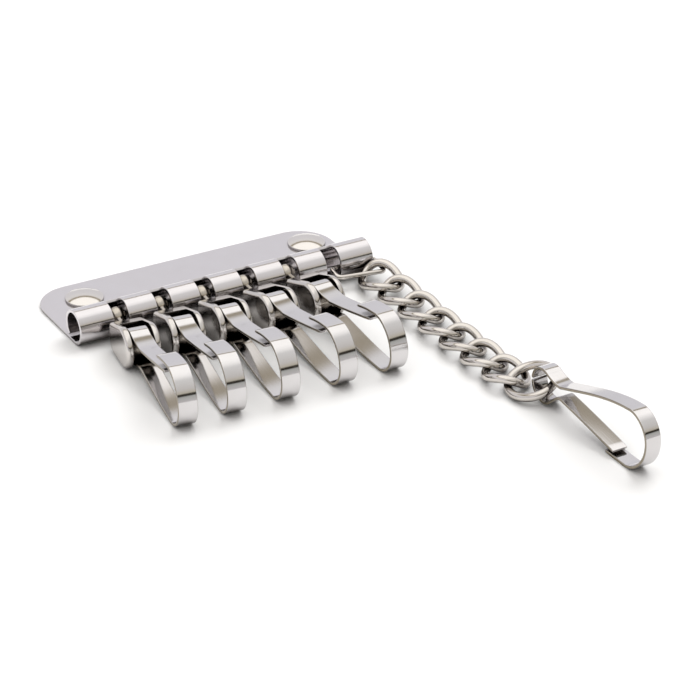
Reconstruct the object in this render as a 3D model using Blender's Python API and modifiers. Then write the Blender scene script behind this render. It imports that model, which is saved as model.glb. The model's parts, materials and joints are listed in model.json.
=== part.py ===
"""Key organiser hardware: a rolled hinge plate with five swivel snap hooks, a chain and an end snap.

X runs along the barrel, +Y points to the plate's rear edge, +Z is up, and the whole thing lies on z = 0.
"""
import math

import bpy
import bmesh
from mathutils import Matrix, Vector

for old in list(bpy.data.objects):
    bpy.data.objects.remove(old, do_unlink=True)

MM = 0.001

# Back plate and the barrel rolled from its front edge.
BARREL_LENGTH = 60.0 * MM
BARREL_RADIUS = 3.3 * MM
SHEET = 0.6 * MM
PLATE_DEPTH = 20.2 * MM
PLATE_CORNER = 7.0 * MM
CURL_END_ANGLE = math.radians(-47.0)
SLOT_COUNT = 6
SLOT_PITCH = 8.7 * MM
SLOT_WIDTH = 3.0 * MM
SLOT_TOP_ANGLE = math.radians(50.0)
SLOT_BOTTOM_ANGLE = math.radians(258.0)
RIVET_X = (-21.5 * MM, 25.0 * MM)
RIVET_Y = 13.8 * MM
RIVET_RADIUS = 3.55 * MM
RIVET_HEIGHT = 1.15 * MM
RIVET_RIM = 0.35 * MM
RIVET_LIFT = 0.02 * MM

# How far cutters reach past what they cut.
SPARE = 2.0 * MM

# The frame's origin is the middle of the plate's flat underside.
FLAT_MIDDLE = PLATE_DEPTH / 2

# Swivel post and clevis of each hook.
GAP = 0.3 * MM
RUNNING = 0.06 * MM
BALL_RADIUS = 1.9 * MM
NECK_RADIUS = 0.9 * MM
POST_HEAD_RADIUS = 1.5 * MM
POST_HEAD = 0.6 * MM
POST_RECESS = 0.6 * MM
CLEVIS_BACK = 5.6 * MM
CLEVIS_WIDTH = 6.6 * MM
CLEVIS_SHEET = 0.7 * MM
EAR_SHEET = 1.15 * MM
EAR_ROUNDING = 0.65 * MM
CLEVIS_HEEL = 2.6 * MM
CLEVIS_HEIGHT = 7.6 * MM
CLEVIS_BACK_HEIGHT = 5.4 * MM
CLEVIS_ROOF = 2.9 * MM
PIN_AHEAD = 7.0 * MM
PIN_END_RADIUS = 1.1 * MM
PIN_SIDE_GAP = 0.1 * MM
HOOK_YAW_DEG = (-7.4, -6.2, -3.6, 0.5, 2.5)
HOOK_SHIFT = (0.3 * MM, 0.15 * MM, 0.1 * MM, 0.0, 0.1 * MM)

# Snap hook strip: one width and one thickness, eye around the pin, loop in front.
STRIP = 0.55 * MM
HOOK_WIDTH = 3.6 * MM
EYE_RADIUS = 3.0 * MM
EYE_SPLIT = math.radians(3.2)
LOW_LEAVE = math.radians(300.0)
HIGH_LEAVE = math.radians(68.0)
# Where the bends come along the reach or up the height, and how long each bend's handles are.
BELLY_AT = 0.84
NOSE_AT = 0.42
TOP_AT = 0.8
LEAVE_HANDLE = 2.6 * MM
LOW_RISE = 1.1 * MM
HIGH_FALL = 0.9 * MM
WAIST_LIFT = 0.3 * MM
BELLY_HANDLE = 0.22
NOSE_HANDLES = (0.72, 0.95)
TOP_HANDLE = 0.26
HOOK_SHAPE = {
    "reach": 26.9 * MM,
    "floor": -3.8 * MM,
    "crest": 7.1 * MM,
    "waist": 6.0 * MM,
    "low_waist": -1.4 * MM,
    "high_waist": 2.3 * MM,
    "free_end": 0.572,
    "free_dip": 0.9 * MM,
    "tip": 0.732,
}

# Chain: a thin connector ring, twisted curb links, an oval end ring.
CONNECTOR_WIRE = 0.45 * MM
CONNECTOR_BACK = 0.15 * MM
CONNECTOR_PAST = 0.8 * MM
CONNECTOR_INNER = 1.9 * MM
CONNECTOR_LEFT = 5.1 * MM
CONNECTOR_SPREAD = math.radians(8.35)
CONNECTOR_BEND = 1.1 * MM
CONNECTOR_TILT = math.radians(188.0)
LINK_COUNT = 7
LINK_WIRE = 0.78 * MM
LINK_PITCH = 6.91 * MM
LINK_LOOSE = 0.175 * MM
LINK_HALF_LENGTH = LINK_PITCH / 2 + LINK_WIRE + LINK_LOOSE
LINK_HALF_WIDTH = 3.3 * MM
LINK_SQUARENESS = 2.2
LINK_TWIST = math.radians(-30.0)
LINK_SETTLE = 0.32
CHAIN_START = Vector((28.3 * MM, LINK_WIRE / 2 - 4.59 * MM, 2.45 * MM))
CHAIN_DRIFT = math.radians(2.56)
CHAIN_DROP = math.radians(1.3)
FIRST_LINK_ROLL = math.radians(12.0)
ROLLED_LINKS = 3
RING_WIRE = 0.8 * MM
RING_HALF_WIDTH = 4.0 * MM
RING_TILT = math.radians(24.0)
RING_DEPTH = 3.0 * MM
RING_SIDE = 0.3 * MM
RING_BITE = Vector((0.15 * MM, -0.6 * MM, -0.2 * MM))

# End snap: the same strip hook the other way up, around the ring.
SNAP_WIDTH = 3.1 * MM
SNAP_EYE = 3.15 * MM
SNAP_CENTRE = Vector((33.1 * MM, -59.9 * MM, 3.75 * MM))
SNAP_YAW = math.radians(1.9)
SNAP_SHAPE = {
    "reach": 30.7 * MM,
    "floor": -7.9 * MM,
    "crest": 3.75 * MM,
    "waist": 5.2 * MM,
    "low_waist": -2.1 * MM,
    "high_waist": 0.1 * MM,
    "free_end": 0.622,
    "free_dip": 0.1 * MM,
    "tip": 0.694,
}

parts = bpy.data.collections.new("key_organiser")
cutters = bpy.data.collections.new("cutters")
bpy.context.scene.collection.children.link(parts)
bpy.context.scene.collection.children.link(cutters)


def nickel(name, colour, roughness):
    """Principled material for one plated steel piece."""
    material = bpy.data.materials.new(name + "_nickel")
    material.use_nodes = True
    shader = material.node_tree.nodes["Principled BSDF"]
    shader.inputs["Base Color"].default_value = (*colour, 1.0)
    shader.inputs["Metallic"].default_value = 1.0
    shader.inputs["Roughness"].default_value = roughness
    return material


def finish(obj, roughness=0.16, colour=(0.72, 0.70, 0.69)):
    """File the object with the parts and give it its own plating."""
    for collection in list(obj.users_collection):
        collection.objects.unlink(obj)
    parts.objects.link(obj)
    obj.data.materials.clear()
    obj.data.materials.append(nickel(obj.name, colour, roughness))
    return obj


def as_cutter(obj):
    for collection in list(obj.users_collection):
        collection.objects.unlink(obj)
    cutters.objects.link(obj)
    obj.hide_render = True
    obj.display_type = "WIRE"
    return obj


def smooth(obj, angle=35.0):
    obj.data.shade_smooth()
    obj.data.set_sharp_from_angle(angle=math.radians(angle))
    return obj


def arc(centre, radius, start, end, steps):
    """Points on an arc, angles in radians, both ends included."""
    count = range(steps + 1)
    angles = [start + (end - start) * index / steps for index in count]
    return [(centre[0] + radius * math.cos(a), centre[1] + radius * math.sin(a)) for a in angles]


def hermite(p0, d0, p1, d1, steps):
    """Smooth run between two points with their directions, first point left out."""
    run = []
    for index in range(1, steps + 1):
        t = index / steps
        a = 2 * t**3 - 3 * t**2 + 1
        b = t**3 - 2 * t**2 + t
        c = -2 * t**3 + 3 * t**2
        d = t**3 - t**2
        x = a * p0[0] + b * d0[0] + c * p1[0] + d * d1[0]
        y = a * p0[1] + b * d0[1] + c * p1[1] + d * d1[1]
        run.append((x, y))
    return run


def ribbon(path, thickness):
    """Outline of a strip of even thickness along a centre path."""
    left, right = [], []
    last = len(path) - 1
    for index, point in enumerate(path):
        before = path[max(index - 1, 0)]
        after = path[min(index + 1, last)]
        run = Vector((after[0] - before[0], after[1] - before[1])).normalized()
        side = Vector((-run.y, run.x)) * thickness / 2
        left.append((point[0] + side.x, point[1] + side.y))
        right.append((point[0] - side.x, point[1] - side.y))
    return left + right[::-1]


def flat_solid(name, outline, width):
    """Closed solid from a flat outline, as thick as width, built as a filled 2D curve."""
    curve = bpy.data.curves.new(name, "CURVE")
    curve.dimensions = "2D"
    curve.fill_mode = "BOTH"
    curve.extrude = width / 2
    spline = curve.splines.new("POLY")
    spline.points.add(len(outline) - 1)
    for point, (x, y) in zip(spline.points, outline):
        point.co = (x, y, 0.0, 1.0)
    spline.use_cyclic_u = True
    obj = bpy.data.objects.new(name, curve)
    bpy.context.scene.collection.objects.link(obj)
    return obj


def to_mesh(obj):
    """Turn a curve object into a mesh object with welded caps."""
    name = obj.name
    bpy.context.view_layer.update()
    evaluated = obj.evaluated_get(bpy.context.evaluated_depsgraph_get())
    mesh = bpy.data.meshes.new_from_object(evaluated)
    work = bmesh.new()
    work.from_mesh(mesh)
    bmesh.ops.remove_doubles(work, verts=work.verts, dist=1e-7)
    work.to_mesh(mesh)
    work.free()
    matrix = obj.matrix_world.copy()
    bpy.data.objects.remove(obj, do_unlink=True)
    mesh.name = name
    new = bpy.data.objects.new(name, mesh)
    new.matrix_world = matrix
    bpy.context.scene.collection.objects.link(new)
    return new


def cut(target, cutter):
    modifier = target.modifiers.new(cutter.name, "BOOLEAN")
    modifier.operation = "DIFFERENCE"
    modifier.solver = "EXACT"
    modifier.object = cutter
    return target


def round_caps(obj, width):
    """Round the rims of both flat caps of a mesh drawn flat in its own X and Y."""
    work = bmesh.new()
    work.from_mesh(obj.data)
    rims = []
    for edge in work.edges:
        flat = [abs(face.normal.z) > 0.9 for face in edge.link_faces]
        if any(flat) and not all(flat):
            rims.append(edge)
    bmesh.ops.bevel(work, geom=rims, offset=width, segments=2, profile=0.5, affect="EDGES")
    work.to_mesh(obj.data)
    work.free()
    return obj


def wire_ring(name, points, radius, resolution=2):
    """Closed wire along 3D points."""
    curve = bpy.data.curves.new(name, "CURVE")
    curve.dimensions = "3D"
    curve.bevel_depth = radius
    curve.bevel_resolution = resolution
    spline = curve.splines.new("POLY")
    spline.points.add(len(points) - 1)
    for point, place in zip(spline.points, points):
        point.co = (*place, 1.0)
    spline.use_cyclic_u = True
    obj = bpy.data.objects.new(name, curve)
    bpy.context.scene.collection.objects.link(obj)
    return obj


def turned(name, profile, steps=24):
    """Turned solid about local Z, profile of (radius, height) from top to bottom."""
    mesh = bpy.data.meshes.new(name)
    work = bmesh.new()
    verts = [work.verts.new((radius, 0.0, height)) for radius, height in profile]
    for first, second in zip(verts, verts[1:]):
        work.edges.new((first, second))
    work.to_mesh(mesh)
    work.free()
    obj = bpy.data.objects.new(name, mesh)
    bpy.context.scene.collection.objects.link(obj)
    screw = obj.modifiers.new("turn", "SCREW")
    screw.steps = steps
    screw.render_steps = steps
    screw.use_merge_vertices = True
    screw.merge_threshold = 1e-6
    screw.use_smooth_shade = True
    return obj


def side_frame(origin, yaw):
    """Matrix whose X runs forward (towards -Y, turned by yaw), Y up and Z across."""
    forward = Vector((math.sin(yaw), -math.cos(yaw), 0.0))
    up = Vector((0.0, 0.0, 1.0))
    across = forward.cross(up)
    turn = Matrix((forward, up, across)).transposed().to_4x4()
    return Matrix.Translation(origin) @ turn


def slot_x(index):
    return (index - (SLOT_COUNT - 1) / 2) * SLOT_PITCH


def build_plate():
    """Plate and barrel are one sheet: flat at the back, rolled up and over at the front."""
    start = math.radians(270.0)
    centre = (0.0, BARREL_RADIUS)
    outline = [(PLATE_DEPTH, 0.0)]
    outline += arc(centre, BARREL_RADIUS, start, CURL_END_ANGLE, 26)
    outline += arc(centre, BARREL_RADIUS - SHEET, CURL_END_ANGLE, start, 26)
    outline.append((PLATE_DEPTH, SHEET))
    plate = flat_solid("back_plate", outline, BARREL_LENGTH)
    across = Matrix(((0, 0, 1), (1, 0, 0), (0, 1, 0))).to_4x4()
    plate.matrix_world = across
    plate = to_mesh(plate)
    for side in (-1, 1):
        cut(plate, corner_cutter(side))
    for index in range(SLOT_COUNT):
        cut(plate, slot_cutter(index))
    smooth(plate)
    return finish(plate, 0.22)


def corner_cutter(side):
    """What a rounded rear corner takes off the sheet."""
    edge = BARREL_LENGTH / 2
    middle = (side * (edge - PLATE_CORNER), PLATE_DEPTH - PLATE_CORNER)
    outline = arc(middle, PLATE_CORNER, math.radians(90 - side * 90), math.radians(90), 8)
    outline.append((middle[0], PLATE_DEPTH + SPARE))
    outline.append((side * (edge + SPARE), PLATE_DEPTH + SPARE))
    outline.append((side * (edge + SPARE), middle[1]))
    name = "corner_cut_left" if side < 0 else "corner_cut_right"
    cutter = flat_solid(name, outline, 4 * SHEET)
    cutter.location.z = SHEET / 2
    return as_cutter(to_mesh(cutter))


def slot_cutter(index):
    """A slot opens the barrel from behind its top, round the front, to its underside."""
    reach = BARREL_RADIUS + SPARE / 2
    centre = (0.0, BARREL_RADIUS)
    inner = BARREL_RADIUS - 2 * SHEET
    outline = arc(centre, reach, SLOT_TOP_ANGLE, SLOT_BOTTOM_ANGLE, 12)
    outline += arc(centre, inner, SLOT_BOTTOM_ANGLE, SLOT_TOP_ANGLE, 12)
    cutter = flat_solid("slot_cut_" + str(index + 1), outline, SLOT_WIDTH)
    cutter.matrix_world = Matrix.Translation((slot_x(index), 0, 0)) @ Matrix(
        ((0, 0, 1), (1, 0, 0), (0, 1, 0))
    ).to_4x4()
    return as_cutter(to_mesh(cutter))


def build_rivet(index):
    """Domed cap standing on the plate, its flat underside on the sheet."""
    name = ("rivet_cap_left", "rivet_cap_right")[index]
    rise = RIVET_HEIGHT - RIVET_RIM
    sphere = (RIVET_RADIUS**2 + rise**2) / (2 * rise)
    span = math.asin(RIVET_RADIUS / sphere)
    profile = [
        (sphere * math.sin(span * step / 5), RIVET_RIM + rise - sphere * (1 - math.cos(span * step / 5)))
        for step in range(6)
    ]
    profile += [(RIVET_RADIUS, 0.0), (0.0, 0.0)]
    cap = turned(name, profile, 24)
    cap.location = (RIVET_X[index], RIVET_Y, SHEET + RIVET_LIFT)
    return finish(cap, 0.12)


def hook_anchor(index):
    """Ball centre of a hook's post, and the hook's yaw."""
    place = Vector((slot_x(index) + HOOK_SHIFT[index], 0.0, BARREL_RADIUS))
    return place, math.radians(HOOK_YAW_DEG[index])


def pin_centre(index):
    anchor, yaw = hook_anchor(index)
    ahead = CLEVIS_BACK + PIN_AHEAD
    place = anchor + Vector((math.sin(yaw), -math.cos(yaw), 0.0)) * ahead
    place.z = CLEVIS_HEIGHT / 2
    return place, yaw


def build_post(index):
    """Turned swivel post: ball in the barrel, neck through the slot, flat head in the clevis."""
    anchor, yaw = hook_anchor(index)
    bridge = CLEVIS_BACK - GAP
    head = CLEVIS_BACK + CLEVIS_SHEET + GAP
    blend = math.asin(NECK_RADIUS / BALL_RADIUS)
    profile = [(0.0, head + POST_HEAD), (POST_HEAD_RADIUS, head + POST_HEAD), (POST_HEAD_RADIUS, head)]
    profile += [(NECK_RADIUS, head), (NECK_RADIUS, bridge - POST_RECESS)]
    for step in range(7):
        angle = blend + (math.pi - blend) * step / 6
        profile.append((max(BALL_RADIUS * math.sin(angle), 0.0), BALL_RADIUS * math.cos(angle)))
    profile[-1] = (0.0, -BALL_RADIUS)
    post = turned("swivel_post_" + str(index + 1), profile, 16)
    forward = Vector((math.sin(yaw), -math.cos(yaw), 0.0))
    post.matrix_world = Matrix.Translation(anchor) @ forward.to_track_quat("Z", "Y").to_matrix().to_4x4()
    return finish(post, 0.14)


def clevis_outline():
    """Side view of the clevis about the pin centre: round nose, sloping back, round heel."""
    nose = CLEVIS_HEIGHT / 2
    back = -PIN_AHEAD
    heel = (back + CLEVIS_HEEL, -nose + CLEVIS_HEEL)
    outline = arc((0.0, 0.0), nose, math.radians(-90), math.radians(100), 12)
    outline.append((back, CLEVIS_BACK_HEIGHT - nose))
    outline += arc(heel, CLEVIS_HEEL, math.radians(180), math.radians(270), 4)
    return outline


def build_clevis(index):
    """Folded U: a bridge with a short sloping roof at the back and two ears."""
    name = "clevis_" + str(index + 1)
    place, yaw = pin_centre(index)
    frame = side_frame(place, yaw)
    clevis = flat_solid(name, clevis_outline(), CLEVIS_WIDTH)
    clevis.matrix_world = frame
    clevis = round_caps(to_mesh(clevis), EAR_ROUNDING)
    nose = CLEVIS_HEIGHT / 2
    inner_back = -PIN_AHEAD + CLEVIS_SHEET
    roof_front = -PIN_AHEAD + CLEVIS_ROOF
    slope = (nose - (CLEVIS_BACK_HEIGHT - nose)) / PIN_AHEAD
    roof_back = CLEVIS_BACK_HEIGHT - nose - CLEVIS_SHEET
    roof_edge = roof_back + slope * (CLEVIS_ROOF - CLEVIS_SHEET)
    clear = nose + SPARE
    void = [(inner_back, -clear), (clear, -clear), (clear, clear), (roof_front, clear)]
    void += [(roof_front, roof_edge), (inner_back, roof_back)]
    inside = flat_solid("fork_cut_" + str(index + 1), void, CLEVIS_WIDTH - 2 * EAR_SHEET)
    inside.matrix_world = frame
    cut(clevis, as_cutter(to_mesh(inside)))
    bpy.ops.mesh.primitive_cylinder_add(
        vertices=14, radius=PIN_END_RADIUS + RUNNING, depth=CLEVIS_WIDTH + SPARE
    )
    pin_hole = bpy.context.object
    pin_hole.name = "pin_hole_" + str(index + 1)
    pin_hole.matrix_world = frame
    cut(clevis, as_cutter(pin_hole))
    bpy.ops.mesh.primitive_cylinder_add(vertices=14, radius=NECK_RADIUS + RUNNING, depth=SPARE)
    neck_hole = bpy.context.object
    neck_hole.name = "neck_hole_" + str(index + 1)
    drop = BARREL_RADIUS - CLEVIS_HEIGHT / 2
    lie = Matrix.Rotation(math.radians(90), 4, "Y")
    neck_hole.matrix_world = frame @ Matrix.Translation((-PIN_AHEAD + CLEVIS_SHEET / 2, drop, 0)) @ lie
    cut(clevis, as_cutter(neck_hole))
    smooth(clevis)
    return finish(clevis, 0.16)


def build_pin(index):
    """Shouldered pin: a full body between the ears, two small ends flush in their holes."""
    place, yaw = pin_centre(index)
    body = EYE_RADIUS - STRIP / 2 - RUNNING
    shoulder = CLEVIS_WIDTH / 2 - EAR_SHEET - PIN_SIDE_GAP
    end = CLEVIS_WIDTH / 2
    profile = [(0.0, end), (PIN_END_RADIUS, end), (PIN_END_RADIUS, shoulder), (body, shoulder)]
    profile += [(body, -shoulder), (PIN_END_RADIUS, -shoulder), (PIN_END_RADIUS, -end), (0.0, -end)]
    pin = turned("hinge_pin_" + str(index + 1), profile, 20)
    pin.matrix_world = side_frame(place, yaw)
    return finish(pin, 0.2)


def hook_paths(eye, shape):
    """Centre paths of the loop strip and the gate strip, about the eye centre.

    The loop strip leaves the eye low, waists, runs out to the belly and rounds back over the top.
    The gate strip leaves the eye high, waists, and ends under the loop strip's free end.
    """
    reach = shape["reach"]
    floor = shape["floor"] + STRIP / 2
    crest = shape["crest"] - STRIP / 2
    height = crest - floor
    waist = (shape["waist"], shape["low_waist"])
    belly = (reach * BELLY_AT, floor)
    nose = (reach - STRIP / 2, floor + NOSE_AT * height)
    top = (reach * TOP_AT, crest)
    free_end = (reach * shape["free_end"], crest - shape["free_dip"])
    leave = arc((0, 0), eye, math.pi + EYE_SPLIT, LOW_LEAVE, 9)
    slope = (belly[1] - waist[1]) / (belly[0] - waist[0])
    run = belly[0] - waist[0]
    loop_path = list(leave)
    at_waist = (LEAVE_HANDLE, 0.6 * slope * LEAVE_HANDLE)
    loop_path += hermite(leave[-1], (LEAVE_HANDLE, LOW_RISE), waist, at_waist, 4)
    loop_path += hermite(waist, (run, 1.25 * slope * run), belly, (run, 0.25 * slope * run), 4)
    loop_path += hermite(belly, (BELLY_HANDLE * reach, 0.0), nose, (0.0, NOSE_HANDLES[0] * height), 6)
    loop_path += hermite(nose, (0.0, NOSE_HANDLES[1] * height), top, (-TOP_HANDLE * reach, 0.0), 6)
    back = free_end[0] - top[0]
    loop_path += hermite(top, (back, 0.0), free_end, (back, -2 * shape["free_dip"]), 3)
    gate_path = arc((0, 0), eye, math.pi - EYE_SPLIT, HIGH_LEAVE, 8)
    waist = (shape["waist"], shape["high_waist"])
    tip = (reach * shape["tip"], free_end[1] - STRIP - GAP)
    slope = (tip[1] - waist[1]) / (tip[0] - waist[0])
    run = tip[0] - waist[0]
    at_waist = (LEAVE_HANDLE, WAIST_LIFT)
    gate_path += hermite(gate_path[-1], (LEAVE_HANDLE, -HIGH_FALL), waist, at_waist, 4)
    gate_path += hermite(waist, (run, 0.8 * slope * run), tip, (run, 1.1 * slope * run), 4)
    return loop_path, gate_path


def build_hook(index):
    """Loop strip and gate strip of one hook, both centred on the hinge pin."""
    place, yaw = pin_centre(index)
    frame = side_frame(place, yaw)
    loop_path, gate_path = hook_paths(EYE_RADIUS, HOOK_SHAPE)
    for stem, path in (("hook_loop_", loop_path), ("hook_gate_", gate_path)):
        strip = flat_solid(stem + str(index + 1), ribbon(path, STRIP), HOOK_WIDTH)
        strip.matrix_world = frame
        finish(strip, 0.14)


def connector_points():
    """Corner-rounded loop: straight inner run in the bore, outer run spreading to the right."""
    length = BARREL_LENGTH / 2 - slot_x(SLOT_COUNT - 1) + CONNECTOR_BACK + CONNECTOR_PAST
    corners = [
        (0.0, CONNECTOR_INNER),
        (length, CONNECTOR_INNER),
        (length, CONNECTOR_LEFT + length * math.tan(CONNECTOR_SPREAD)),
        (0.0, CONNECTOR_LEFT),
    ]
    points = []
    count = len(corners)
    for index in range(count):
        corner = Vector(corners[index])
        before = (Vector(corners[index - 1]) - corner).normalized()
        after = (Vector(corners[(index + 1) % count]) - corner).normalized()
        for step in range(5):
            t = step / 4
            near = corner + before * CONNECTOR_BEND * (1 - t)
            far = corner + after * CONNECTOR_BEND * t
            points.append(near.lerp(far, t))
    return points


def build_connector():
    """Thin ring threaded through the last knuckle: one run in the bore, one in front of it."""
    across = (math.cos(CONNECTOR_TILT), math.sin(CONNECTOR_TILT))
    left = slot_x(SLOT_COUNT - 1) - CONNECTOR_BACK
    points = [
        (left + along, across[0] * out, BARREL_RADIUS + across[1] * out)
        for along, out in connector_points()
    ]
    return finish(wire_ring("chain_connector", points, CONNECTOR_WIRE), 0.16)


def link_points():
    """One curb link about its centre: an oval twisted along its length."""
    points = []
    count = 24
    power = 2 / LINK_SQUARENESS
    for index in range(count):
        angle = 2 * math.pi * (index + 0.5) / count
        c, s = math.cos(angle), math.sin(angle)
        along = LINK_HALF_LENGTH * math.copysign(abs(c) ** power, c)
        out = LINK_HALF_WIDTH * math.copysign(abs(s) ** power, s)
        twist = LINK_TWIST * along / LINK_HALF_LENGTH
        points.append((along, out * math.cos(twist), out * math.sin(twist)))
    return points


def chain_frames():
    """A frame for each link: X along the chain, Z up, stepping down from the barrel to the ground."""
    frames = []
    place = CHAIN_START.copy()
    rest = LINK_HALF_WIDTH * LINK_SETTLE + LINK_WIRE
    for index in range(LINK_COUNT):
        pitch_down = CHAIN_DROP if place.z > rest else 0.0
        flat = Vector((math.sin(CHAIN_DRIFT), -math.cos(CHAIN_DRIFT), 0.0))
        along = (flat * math.cos(pitch_down) - Vector((0, 0, 1)) * math.sin(pitch_down)).normalized()
        across = Vector((0, 0, 1)).cross(along).normalized()
        up = along.cross(across)
        centre = place + along * LINK_HALF_LENGTH
        turn = Matrix((along, across, up)).transposed().to_4x4()
        settled = min(1.0, index / ROLLED_LINKS)
        roll = Matrix.Rotation(FIRST_LINK_ROLL * (1 - settled), 4, "X")
        frames.append(Matrix.Translation(centre) @ turn @ roll)
        place = place + along * LINK_PITCH
    return frames


def build_chain():
    frames = chain_frames()
    for index, frame in enumerate(frames):
        link = wire_ring("chain_link_" + str(index + 1), link_points(), LINK_WIRE)
        link.matrix_world = frame
        finish(link, 0.15)
    return frames[-1]


def build_ring(last):
    """Plain ring through the last link and the end snap's eye, its near side low."""
    start = last @ Vector((LINK_HALF_LENGTH - RING_DEPTH, RING_SIDE, 0.0))
    finish_point = SNAP_CENTRE + RING_BITE
    axis = (finish_point - start).normalized()
    radius = (finish_point - start).length / 2
    side = Vector((0.0, 0.0, 1.0)).cross(axis).normalized()
    tilted = side * math.cos(RING_TILT) + axis.cross(side) * math.sin(RING_TILT)
    count = 24
    points = []
    for index in range(count):
        angle = 2 * math.pi * index / count
        points.append(axis * radius * math.cos(angle) + tilted * RING_HALF_WIDTH * math.sin(angle))
    ring = wire_ring("chain_end_ring", points, RING_WIRE)
    ring.location = (start + finish_point) / 2
    return finish(ring, 0.14)


def build_end_snap():
    """The end snap lies the other way up: its gate runs along the ground."""
    loop_path, gate_path = hook_paths(SNAP_EYE, SNAP_SHAPE)
    frame = side_frame(SNAP_CENTRE, SNAP_YAW)
    for name, path in (("end_snap_loop", loop_path), ("end_snap_gate", gate_path)):
        flipped = [(x, -y) for x, y in path]
        strip = flat_solid(name, ribbon(flipped, STRIP), SNAP_WIDTH)
        strip.matrix_world = frame
        finish(strip, 0.14)


build_plate()
for side in range(2):
    build_rivet(side)
for hook in range(SLOT_COUNT - 1):
    build_post(hook)
    build_clevis(hook)
    build_pin(hook)
    build_hook(hook)
build_connector()
build_ring(build_chain())
build_end_snap()

origin = bpy.data.objects.new("organiser_origin", None)
bpy.context.scene.collection.objects.link(origin)
origin.location.y = -FLAT_MIDDLE
for piece in list(parts.objects) + list(cutters.objects):
    piece.parent = origin
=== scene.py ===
# %% [markdown]
# # A key organiser in bright nickel plate
# This is the metal inside of a key case: a plate whose front edge is rolled into a hinge
# barrel, five snap hooks that swivel in its slots, and a chain with a sixth snap at its end.
# The measured model is loaded first and never moved. Every piece that shows is then made
# again beside it, with softer edges and finer curves, and told which body it moves with.

# %% Load the measured model
import json
import math

import bmesh
import bpy
from mathutils import Matrix, Vector


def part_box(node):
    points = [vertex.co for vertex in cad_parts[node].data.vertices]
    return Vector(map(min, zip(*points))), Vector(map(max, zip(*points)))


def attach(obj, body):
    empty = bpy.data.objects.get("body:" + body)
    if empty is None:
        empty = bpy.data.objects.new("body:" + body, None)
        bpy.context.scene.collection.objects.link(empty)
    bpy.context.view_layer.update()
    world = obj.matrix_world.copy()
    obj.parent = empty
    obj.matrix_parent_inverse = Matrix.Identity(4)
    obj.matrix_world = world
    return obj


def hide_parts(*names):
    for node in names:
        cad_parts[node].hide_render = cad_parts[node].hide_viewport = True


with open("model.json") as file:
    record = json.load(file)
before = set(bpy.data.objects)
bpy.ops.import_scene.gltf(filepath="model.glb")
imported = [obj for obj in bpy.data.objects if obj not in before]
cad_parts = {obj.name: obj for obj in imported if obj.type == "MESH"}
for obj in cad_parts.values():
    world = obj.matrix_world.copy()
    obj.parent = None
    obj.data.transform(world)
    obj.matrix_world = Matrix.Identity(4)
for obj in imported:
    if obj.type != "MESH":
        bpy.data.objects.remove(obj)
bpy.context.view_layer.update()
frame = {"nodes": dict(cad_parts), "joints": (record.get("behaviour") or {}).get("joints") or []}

MM = 0.001
joints = {joint["name"]: joint for joint in frame["joints"]}
print("pieces in the frame:", len(frame["nodes"]), "joints:", len(joints))

# %% [markdown]
# ## The camera
# A lens that is long for its sensor stands well back, so the far end of the chain shrinks
# only a little. It looks down from the left front, low enough for the loops to show the
# space inside them.

# %% Camera
CAMERA_PLACE = Vector((-238.0, -485.3, 279.6)) * MM
VIEW_DIRECTION = Vector((0.4276, 0.7673, -0.4779))
LENS_MM = 167.8
SENSOR_MM = 36.0

camera_data = bpy.data.cameras.new("camera")
camera_data.lens = LENS_MM
camera_data.sensor_width = SENSOR_MM
camera_data.clip_start = 50 * MM
camera_data.clip_end = 20.0
camera = bpy.data.objects.new("camera", camera_data)
bpy.context.scene.collection.objects.link(camera)
camera.location = CAMERA_PLACE
camera.rotation_mode = "QUATERNION"
camera.rotation_quaternion = VIEW_DIRECTION.to_track_quat("-Z", "Y")
bpy.context.scene.camera = camera
print("camera distance in mm:", round(CAMERA_PLACE.length / MM))

# %% [markdown]
# ## Colours and nodes
# Colours are written as the hex values that a paint program shows, and one function turns
# them into the linear light that a renderer adds up. One more function adds a shader node,
# with its settings and its links, so that a material reads as a list of what it does.

# %% Helpers for colours and nodes
def hex_colour(text):
    """Linear RGBA from an sRGB hex colour such as #C8C6C9."""
    shares = [int(text[place:place + 2], 16) / 255 for place in (1, 3, 5)]
    linear = [s / 12.92 if s <= 0.04045 else ((s + 0.055) / 1.055) ** 2.4 for s in shares]
    return (*linear, 1.0)


def add_node(tree, kind, links=(), values=(), **settings):
    """Add a node, set its properties and inputs, and link (input, output socket) pairs."""
    node = tree.nodes.new(kind)
    for name, value in settings.items():
        setattr(node, name, value)
    for name, value in values:
        node.inputs[name].default_value = value
    for name, socket in links:
        tree.links.new(socket, node.inputs[name])
    return node


print("nickel in linear light:", [round(value, 3) for value in hex_colour("#D3CDC4")])

# %% [markdown]
# ## Nickel plate
# Nickel plate on steel is a metal mirror, a little warmer and darker than chrome. What sets
# one piece apart from another is what was done to the steel under the plate: the sheet was
# brushed, the springs were rolled from strip, and the chain was tumbled. So one function
# makes all six finishes. It mixes two close tints in soft clouds, and adds fine lines to the
# roughness and the bump, stretched along the direction the metal was worked in. The tint
# darkens to brown by how closed in a spot is: painted shade in corners and recesses. Strip
# also gets a darker olive-brown line along its rounded edges, which is painted shade too.

# %% A function for plated steel
# Painted shade: the tint turns this dark brown in closed-in corners and recesses.
PAINTED_RECESS_SHADE = "#33261B"
RECESS_SHADE_REACH = 3.6 * MM
CLOSED_IN = 0.28
WIDE_OPEN = 0.72
CLOUD_MM = 4.0
# Painted shade: a darker olive-brown band along the strip's rounded edges.
EDGE_SHADE_MM = (0.02, 0.13)
EDGE_SHADE_SHARE = 0.85
ROUGHNESS_SPREAD = (0.95, 1.08)


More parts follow.
